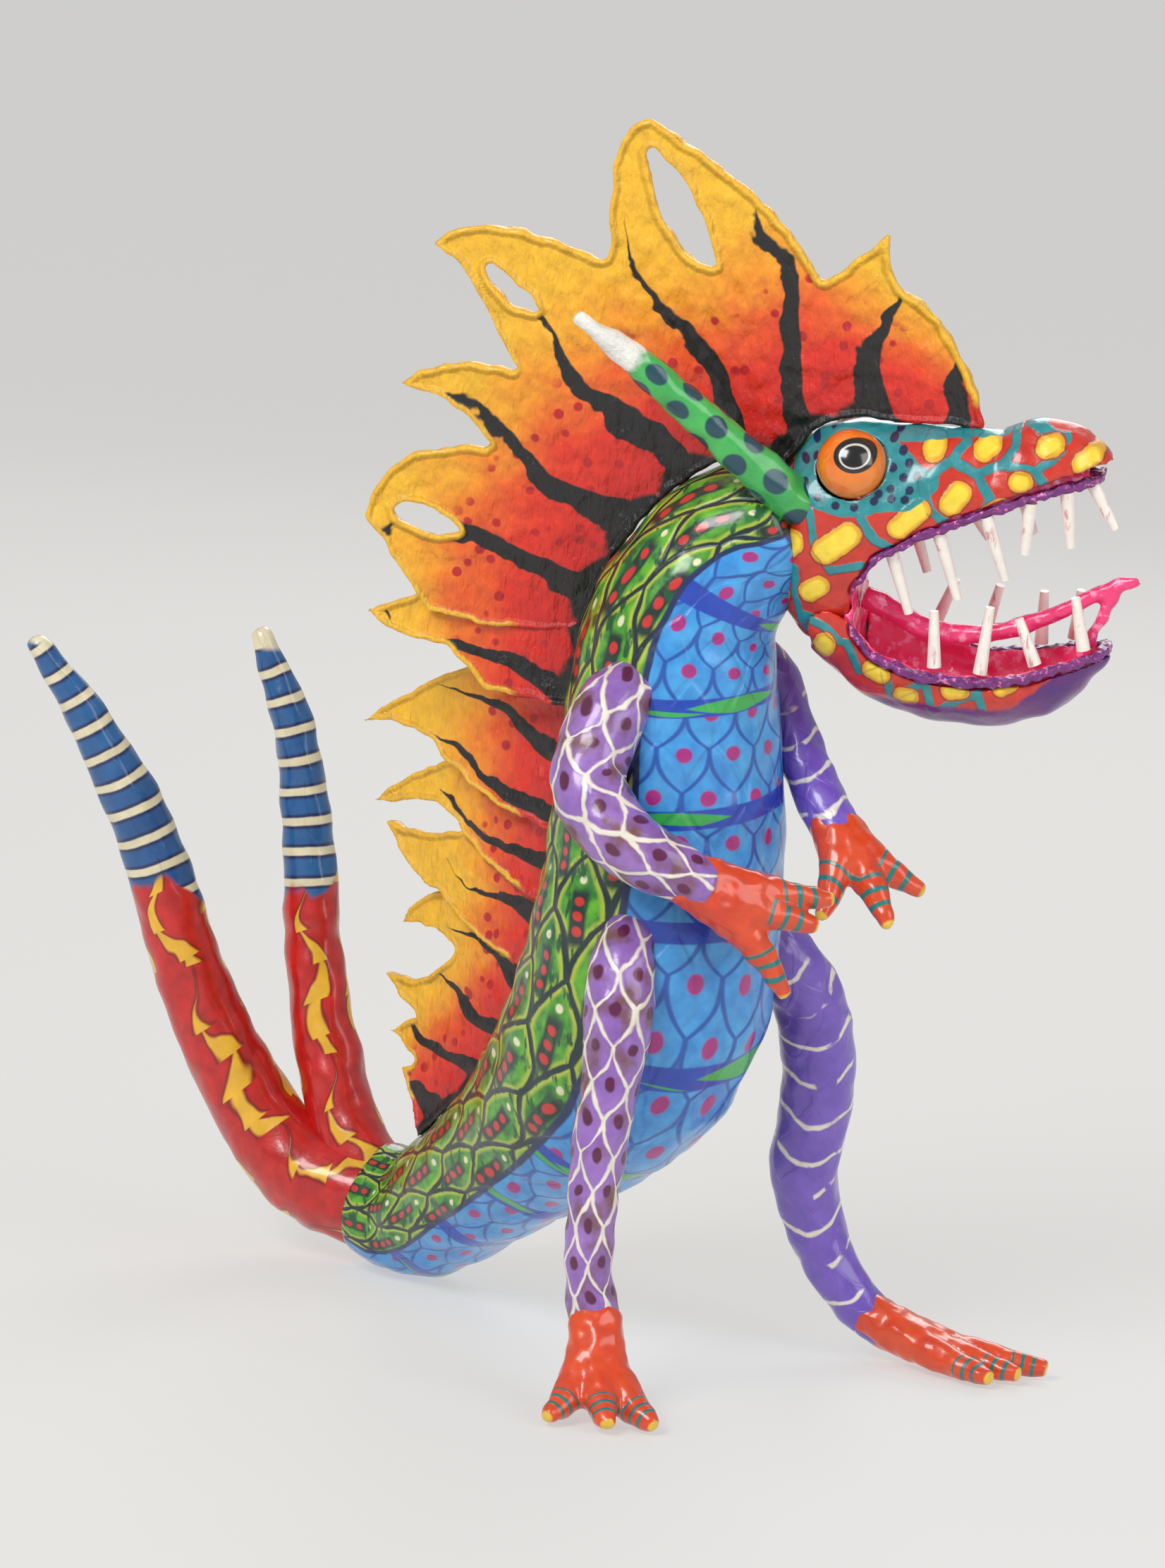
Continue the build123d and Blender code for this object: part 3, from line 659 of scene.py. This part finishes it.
HORNS = {
    "horn_right": [(-10, -9, 21, 7), (-18, -15, 28, 6.6), (-34, -20, 43, 5.6), (-52, -25, 59, 4.6),
                   (-64, -27.4, 68, 3.2), (-71, -28.5, 73, 1.6)],
    "horn_left": [(-10, 9, 21, 7), (-18, 15, 28, 6.6), (-25, 20, 44, 5.6), (-31, 25, 60, 4.4),
                  (-35.5, 28, 70, 3.1), (-38, 30, 77, 1.6)],
}
OVALS_ROUND, OVAL_SPACING, PAINTED_LENGTH = 4, 0.0105, 0.063
LEFT_IS_SHORTER = 0.018                     # metres of paint that the left horn goes without
green = Finish("horn_paint")
turn, run = green.round_and_along()
colour = green.mix(green.grain(0.010), ink(18, 148, 72), ink(84, 204, 92))
rows = run / OVAL_SPACING
shifted = turn * (OVALS_ROUND / math.tau) + (rows.floor() * 0.5).fract()
oval = dot(shifted.fract(), rows.fract(), 0.5, 0.5, 0.36, 0.04, 1.15)
colour = green.mix(oval, colour, ink(8, 70, 84))
bare = (run + (green.grain(0.004) - 0.5) * 0.006).above(PAINTED_LENGTH, 0.0012)
colour = green.mix(bare, colour, ink(240, 238, 230))
green.done(green.shade(colour), relief=bare * green.grain(0.0016, 5.0) * 2.5)
for name, stations in HORNS.items():
    stations = [(*on_head(x, y, z), radius) for x, y, z, radius in stations]
    horn = rolled(f"{name}_roll", stations, 16)
    along_roll(horn, stations, Vector((0.2, -0.9, 0.1)).normalized())
    if name == "horn_left":
        for mark in horn.data.attributes["round_and_along"].data:
            mark.vector.z += LEFT_IS_SHORTER
    roughened(horn, 0.0009, 0.006)
    settle(horn, green.material, "horn_paint", name)

# ---------------------------------------------------------------- head
# Two hollow pasted shells, the cranium and the lower jaw. Red, with teal ribbons between
# yellow spots and a teal patch round each eye, painted alike on both sides. The strokes are
# laid out in mm along the snout and up, a spot as a short stroke with its width.
SPOTS = [((22, 41), (22, 42), 3.1), ((35, 42), (36, 43), 3.0), ((45, 35), (46, 35), 2.8),
         ((61, 40.5), (63, 42), 3.0), ((28, 28), (30, 31), 3.2), ((15, 21), (20, 26), 3.1),
         ((-4, 13), (2, 18), 3.6), ((-15, 12), (-13, 14), 3.3), ((-17, 25), (-15, 27), 3.2),
         ((-16, 39), (-15, 41), 3.2), ((-8, 1), (-5, 3), 3.0), ((-17, -4), (-16, -1), 2.4),
         ((-4, -15), (-3, -13), 3.0), ((10, -19), (12, -20), 3.0), ((18, -26), (20, -26), 2.6),
         ((31, -23), (33, -23), 2.8), ((44, -21), (46, -20), 2.4), ((8, 3), (11, 7), 2.4),
         ((51, 44), (53, 44.5), 2.8), ((38, 26), (41, 28), 2.4), ((53, 32), (55, 33), 2.0)]
RIBBONS = [[(22, 35), (27, 39), (30, 43), (29, 49)], [(27, 39), (34, 36), (38, 30), (36, 24)],
           [(34, 36), (40, 39), (43, 43), (42, 49)], [(40, 39), (49, 38), (52, 34), (50, 28)],
           [(49, 38), (55, 43)], [(5, 23), (9, 17), (14, 15), (20, 18)],
           [(-9, 23), (-7, 15), (-2, 8), (6, 10)], [(20, 33), (23, 26), (28, 22)],
           [(-21, 34), (-20, 22), (-21, 8)], [(-11, -6), (-4, -8), (1, -12)],
           [(-12, 7), (-12, -1), (-9, -12)], [(3, -12), (6, -20), (13, -15)],
           [(13, -15), (15, -27), (24, -21)], [(24, -21), (26, -30), (38, -23)],
           [(38, -23), (40, -30)], [(20, 49), (30, 50), (42, 50), (56, 46)]]
PATCH = [[(-11, 40), (-4, 44), (4, 46), (14, 45), (26, 47), (38, 48)],
         [(-12, 33), (-9, 28), (0, 26), (6, 27)], [(8, 40), (14, 37), (20, 32), (16, 29), (8, 28)],
         [(12, 34), (21, 33)], [(-11, 40), (-12, 33)]]
PATCH_DOTS = [(-10, 40), (-6, 43.5), (0, 46.5), (6, 46), (12, 44.5), (18, 45.5), (-12, 35), (-11, 30),
              (-7, 27), (-2, 25.5), (3, 25.5), (8, 27.5), (12, 31), (17, 31), (12, 36), (14, 40),
              (25, 47), (31, 47.5), (15, 34), (18.5, 34.5), (16, 37.5), (12.5, 28.5), (16, 28.5),
              (9, 29.5), (20, 47), (11, 42.5), (-9, 36.5)]
RIBBON_WIDTH, PATCH_WIDTH, DOT_WIDTH = 1.25, 3.4, 1.15      # half widths of the strokes, mm
VIOLET_BELOW, CHIN_FROM, CHIN_SLOPE = -0.0278, 0.046, 0.9   # under the jaw, and up past the chin


def off_head(place):
    """A point in metres as its place on the head, in mm along the snout, to its left and up."""
    return TO_HEAD @ (place / MM - BASE - HEAD_AT)


def from_strokes(piece, trait, strokes):
    """Mark each point with its distance in m from the nearest brush stroke on the head's side."""
    runs = []
    for points, width in strokes:
        for a, b in zip(points, points[1:]):
            runs.append((Vector(a), Vector(b) - Vector(a), width))
    marks = []
    for vertex in piece.data.vertices:
        place = off_head(vertex.co)
        side = Vector((place.x, place.z))
        nearest = 1e9
        for start, run, width in runs:
            held = max(0.0, min(1.0, (side - start).dot(run) / max(run.length_squared, 1e-9)))
            nearest = min(nearest, (side - start - run * held).length - width)
        marks.append(nearest * MM)
    keep(piece, trait, marks)


def head_place(finish):
    """The same place inside a finish, as three wires in metres."""
    turned = finish.node("ShaderNodeMapping", {"vector_type": "TEXTURE"}, {
        "Vector": finish.place(), "Location": at(*HEAD_AT), "Rotation": (TIP_ROLL, 0, YAW)})
    return finish.split(turned.outputs[0])


mask = Finish("head_paint")
ragged = (mask.grain(0.0028) - 0.5) * 0.0011
ribbon, spot = mask.trait("ribbon") + ragged, mask.trait("spot") + ragged
patch, speck = mask.trait("patch") + ragged, mask.trait("speck")
colour = mask.mix(mask.grain(0.012), ink(190, 30, 20), ink(226, 58, 28))
teal = mask.mix(mask.grain(0.004), ink(16, 108, 122), ink(52, 166, 168))
colour = mask.mix(ribbon.below(0.0, 0.0002), colour, teal)
colour = mask.mix(spot.below(0.0004, 0.0004), colour, ink(168, 40, 16))
yellow = mask.mix(spot.below(-0.001, 0.0005), ink(236, 170, 30), ink(252, 218, 60))
colour = mask.mix(spot.below(0.0, 0.0002), colour, yellow)
colour = mask.mix(patch.below(0.0, 0.0002), colour, teal)
colour = mask.mix(speck.below(0.0, 0.0002) & patch.below(0.001, 0.0003), colour, ink(14, 34, 74))
snout, _, height = head_place(mask)
underside = height - (snout - CHIN_FROM).math("MAXIMUM", 0.0) * CHIN_SLOPE + ragged * 2.0
violet = mask.mix(mask.grain(0.010), ink(42, 30, 120), ink(138, 22, 120))
colour = mask.mix(underside.below(VIOLET_BELOW, 0.0008), colour, violet)
mask.done(mask.shade(colour, 0.003), relief=ribbon.below(0, 0.0004) + spot.below(0, 0.0004), depth=0.0005)
LIP_LINE = ((36, 24), (47, 28.5), (56, 31.5), (72, 35))
FULLER_FROM, FULLER_OVER, DEEPER, WIDER = 38, 22.0, 0.85, 0.30
LONGER_FROM, LONGER = 56, 0.25


def fuller_snout(piece):
    """A thumb of paste over the end of the snout, deeper towards its tip."""
    for vertex in piece.data.vertices:
        place = off_head(vertex.co)
        if place.x > FULLER_FROM:
            lip = next(a[1] + (b[1] - a[1]) * (place.x - a[0]) / (b[0] - a[0])
                       for a, b in zip(LIP_LINE, LIP_LINE[1:]) if place.x <= b[0])
            fullness = min(1.0, (place.x - FULLER_FROM) / FULLER_OVER)
            if place.z > lip:
                place.z = lip + (place.z - lip) * (1.0 + DEEPER * fullness)
            place.y *= 1.0 + WIDER * fullness
            place.x += max(0.0, place.x - LONGER_FROM) * LONGER
            vertex.co = (FROM_HEAD @ place + HEAD_AT + BASE) * MM


for name in ("cranium", "lower_jaw"):
    shell = modelled(f"{name}_shell", [name], 0.0008, 4)
    if name == "cranium":
        fuller_snout(shell)
    from_strokes(shell, "ribbon", [(points, RIBBON_WIDTH) for points in RIBBONS])
    from_strokes(shell, "spot", [((a, b), width) for a, b, width in SPOTS])
    from_strokes(shell, "patch", [(points, PATCH_WIDTH) for points in PATCH])
    from_strokes(shell, "speck", [((place, place), DOT_WIDTH) for place in PATCH_DOTS])
    roughened(shell, 0.0008, 0.007)
    settle(shell, mask.material, "head_paint", name)

# ---------------------------------------------------------------- lips and mouth
# Rough strips of torn paper make the lips, purple over pink. The mouth is lined with pink
# paper, and the tongue is a narrow strip from the throat with a prong down to the lower lip.
rough = Finish("lip_paint")
colour = rough.mix(rough.grain(0.0035, 4.0), ink(74, 20, 96), ink(150, 44, 140))
colour = rough.mix(rough.grain(0.0015, 4.0).above(0.62, 0.05), colour, ink(226, 120, 180))
rough.done(colour, gloss=0.38, coat=0.5, relief=rough.grain(0.0016, 5.0) * 2.0, depth=0.0006)
pink = Finish("mouth_paint")
colour = pink.mix(pink.grain(0.007, 4.0), ink(236, 30, 100), ink(255, 74, 140))
# The pale pink flecks laid over the pink lining are painted highlights.
colour = pink.mix(pink.grain(0.0028, 4.0).above(0.60, 0.06), colour, ink(255, 150, 190))
pink.done(colour, gloss=0.30, coat=0.6, relief=pink.grain(0.003, 5.0), depth=0.0004)
for name in ("upper_lip", "lower_lip"):
    lip = modelled(f"{name}_strip", [name], 0.0006, 3)
    roughened(lip, 0.0009, 0.0022)
    settle(lip, rough.material, "lip_paint", name)
for name, nodes in (("palate", ["palate"]), ("jaw_lining", ["jaw_lining"]), ("throat", ["throat"]),
                    ("tongue", ["tongue", "tongue_prong"])):
    lining = modelled(f"{name}_paper", nodes, 0.0007, 3)
    roughened(lining, 0.0006, 0.004)
    settle(lining, pink.material, "mouth_paint", *nodes)

# ---------------------------------------------------------------- teeth and eyes
# The teeth are whittled sticks glued into the jaws, off-white with stained roots. The eyes
# are smooth painted balls: orange, with a white ring inside a black oval.
ivory = Finish("tooth_wood")
colour = ivory.mix(ivory.grain(0.0035, 4.0), ink(232, 220, 206), ink(252, 248, 242))
colour = ivory.mix(ivory.grain(0.002, 4.0, (1, 1, 0.3)).above(0.64, 0.06), colour, ink(214, 150, 150))
ivory.done(colour, gloss=0.36, coat=0.4, depth=0.0002)
PUPIL_AT, PUPIL_LENGTH, PUPIL_HEIGHT = (0.0026, 0.0397), 0.0052, 0.0039
ball = Finish("eye_paint")
snout, _, height = head_place(ball)
eye_x, eye_z = (snout - PUPIL_AT[0]) / PUPIL_LENGTH, (height - PUPIL_AT[1]) / PUPIL_HEIGHT
iris = (eye_x * eye_x + eye_z * eye_z).root()
colour = ball.mix(ball.grain(0.005), ink(232, 98, 10), ink(248, 146, 28))
colour = ball.mix(iris.below(1.06, 0.03), colour, ink(12, 10, 14))
colour = ball.mix(abs(iris - 0.72).below(0.055, 0.02), colour, ink(214, 206, 196))
ball.done(colour, gloss=0.16, coat=1.0, depth=0.00005)


def finish_cad(node, finish):
    """Give a CAD node its paint."""
    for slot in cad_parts[node].material_slots:
        slot.material = finish


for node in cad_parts:
    if "_tooth_" in node:
        finish_cad(node, ivory.material)
    if node.startswith("eye_"):
        finish_cad(node, ball.material)

# ---------------------------------------------------------------- crests
# Stiff pasted card cut into flames, some of them pierced, with edges of raised paste, fixed
# down the back of the head and body. Black at the root, then red, orange and golden tips.
VEIN_SPACING, RIM_WIDTH = 0.0145, 0.0017
VEINS_FAN_FROM, VEINS_FAN_RADIUS = (2, -22), 0.052      # on the head in mm, and metres
ON_EDGE = 0.55                              # a normal under this much towards a face is on the edge
fire = Finish("crest_paint")
rise, beside, rim = fire.trait("rise"), fire.trait("beside"), fire.trait("rim")
uneven = fire.grain(0.012, 3.0) - 0.5
shades = fire.node("ShaderNodeValToRGB", None, [rise + uneven * 0.30])
ramp = shades.color_ramp
ramp.elements[0].position, ramp.elements[0].color = 0.10, ink(212, 22, 14)
ramp.elements[1].position, ramp.elements[1].color = 0.74, ink(250, 190, 36)
for place, shade in ((0.28, ink(232, 44, 16)), (0.43, ink(240, 98, 20)), (0.56, ink(248, 156, 26))):
    ramp.elements.new(place).color = shade
colour = shades.outputs[0]
freckles = fire.node("ShaderNodeTexVoronoi", None, {"Vector": fire.place(), "Scale": 170.0})
freckle = Wire(fire, freckles.outputs["Distance"]).below(0.24, 0.04) & rise.below(0.52, 0.05)
colour = fire.mix(freckle, colour, ink(190, 14, 22))
sway = (rise * 8.0 + beside * 110.0).sine() * 0.13 + uneven * 0.35
vein = abs((beside / VEIN_SPACING + sway).fract() - 0.5)
inked = (vein + rise ** 0.7 * 0.27 + uneven * 0.12).below(0.235, 0.012)
inked = inked | (rise + vein * 0.16 + uneven * 0.08).below(0.105, 0.012)
colour = fire.mix(inked, colour, ink(14, 10, 12))
colour = fire.mix(rim.below(RIM_WIDTH, 0.0004) & rise.above(0.25, 0.03), colour, ink(248, 188, 40))
fibres = fire.grain(0.0016, 5.0, (1, 1, 0.35))
raised = fibres * 2.0 + rim.below(RIM_WIDTH, 0.0008) * 2.0
fire.done(fire.shade(colour, 0.003), gloss=0.36, coat=0.4, relief=raised, depth=0.0008)
TRUNK_AT = Vector((22, 54, 0))              # middle of the upper body, mm
CARD_THICKNESS, CREST_FULL_FROM, CREST_GONE_AT = 4.2, 115, -75


def from_root(piece, root_lines, beside):
    """Mark how far up a crest each point stands, 0 at its root and 1 at its tips, and its place
    along the crest for the veins."""
    lines = [(at(*a), at(*b) - at(*a), sizes) for a, b, *sizes in root_lines]
    rises = []
    for vertex in piece.data.vertices:
        nearest = None
        for start, run, (wide, narrow, tall, taller) in lines:
            held = max(0.0, min(1.0, (vertex.co - start).dot(run) / run.length_squared))
            away = (vertex.co - start - run * held).length - (wide + (narrow - wide) * held) * MM
            if nearest is None or away < nearest[0]:
                nearest = (away, (tall + (taller - tall) * held) * MM)
        rises.append(nearest[0] / nearest[1])
    keep(piece, "rise", rises)
    keep(piece, "beside", [beside(vertex.co) for vertex in piece.data.vertices])


def from_edge(piece, facing):
    """Mark each point's distance from the card's cut edge, which faces away from its sides."""
    edge_points = []
    for vertex in piece.data.vertices:
        if abs(vertex.normal.dot(facing(vertex.co))) < ON_EDGE:
            edge_points.append(vertex.co)
    tree = KDTree(len(edge_points))
    for i, place in enumerate(edge_points):
        tree.insert(place, i)
    tree.balance()
    keep(piece, "rim", [tree.find(vertex.co)[2] for vertex in piece.data.vertices])


def off_trunk(place):
    """A point in metres as its place from the upper body's middle, in mm."""
    return place / MM - BASE - TRUNK_AT


def flame_card(outline, angle):
    """A flame cut from card, standing out from the body's back at an angle in degrees."""
    outward = Vector((-math.cos(math.radians(angle)), math.sin(math.radians(angle)), 0))
    across = outward.cross(Vector((0, 0, 1)))
    bpy.ops.object.select_all(action="DESELECT")
    bpy.ops.mesh.primitive_circle_add(vertices=len(outline), radius=0.01, fill_type="NGON")
    card = bpy.context.object
    for vertex, (out, height) in zip(card.data.vertices, outline):
        place = TRUNK_AT + Vector((0, 0, height)) + outward * out - across * CARD_THICKNESS / 2
        vertex.co = (place + BASE) * MM
    bpy.ops.object.mode_set(mode="EDIT")
    bpy.ops.mesh.select_all(action="SELECT")
    bpy.ops.mesh.extrude_region_move(TRANSFORM_OT_translate={"value": across * CARD_THICKNESS * MM})
    bpy.ops.mesh.select_all(action="SELECT")
    bpy.ops.mesh.normals_make_consistent(inside=False)
    bpy.ops.object.mode_set(mode="OBJECT")
    bpy.ops.object.transform_apply(location=True, rotation=True, scale=True)
    return card


def across_head(place):
    """The head crest stands across the head's left and right."""
    return FROM_HEAD @ Vector((0, 1, 0))


def across_back(place):
    """The back crest stands out from the body, so what it faces turns with the place."""
    out = off_trunk(place)
    return Vector((out.y, -out.x, 0)).normalized()


def up_the_back(first, last, tall):
    """Root lines along the body's stations, with the body's radii and the crest's heights."""
    lines = []
    for a, b in zip(BODY[first:last], BODY[first + 1:last + 1]):
        heights = [tall * min(1.0, (end[2] - CREST_GONE_AT) / (CREST_FULL_FROM - CREST_GONE_AT))
                   for end in (a, b)]
        lines.append((a[:3], b[:3], a[3], b[3], *heights))
    return lines


def beside_head(place):
    """Veins on the head crest fan out from the throat."""
    side = off_head(place)
    fan_x, fan_z = VEINS_FAN_FROM
    return math.atan2(side.z - fan_z, side.x - fan_x) * VEINS_FAN_RADIUS


def beside_back(place):
    """Veins on the back crest lie across it and rise a little towards the tips."""
    out = off_trunk(place)
    return (out.z * 0.80 - Vector((out.x, out.y)).length * 0.24) * MM


JOINING_FLAME = [(20, 229), (58, 225), (66, 213), (74, 203), (88, 197),
                 (76, 191), (64, 190), (52, 179), (20, 176)]
OVER_THE_HEAD = (on_head(34, 0, 30), on_head(4, 0, 21), 10, 24, 46, 80)
for name, lines, beside_it, facing, extra in (
        ("head_crest", [OVER_THE_HEAD, *up_the_back(0, 4, 80)], beside_head, across_head, []),
        ("back_crest", up_the_back(3, 12, 66), beside_back, across_back, [flame_card(JOINING_FLAME, 17)])):
    crest = modelled(f"{name}_card", [name], 0.0008, 5, extra)
    from_root(crest, lines, beside_it)
    roughened(crest, 0.0009, 0.005)
    from_edge(crest, facing)
    settle(crest, fire.material, "crest_paint", name)

# ---------------------------------------------------------------- armature
# Annealed wires, dull black, run down the middle of the body, limbs and tails. The rolls
# round them stand for the newspaper and the skin at once.
steel = Finish("wire")
steel.shader.inputs["Metallic"].default_value = 1.0
colour = steel.mix(steel.grain(0.002), ink(88, 84, 80), ink(128, 120, 112))
steel.done(colour, coat=0.0, gloss=0.5)
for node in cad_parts:
    if node.endswith("_wire"):
        finish_cad(node, steel.material)
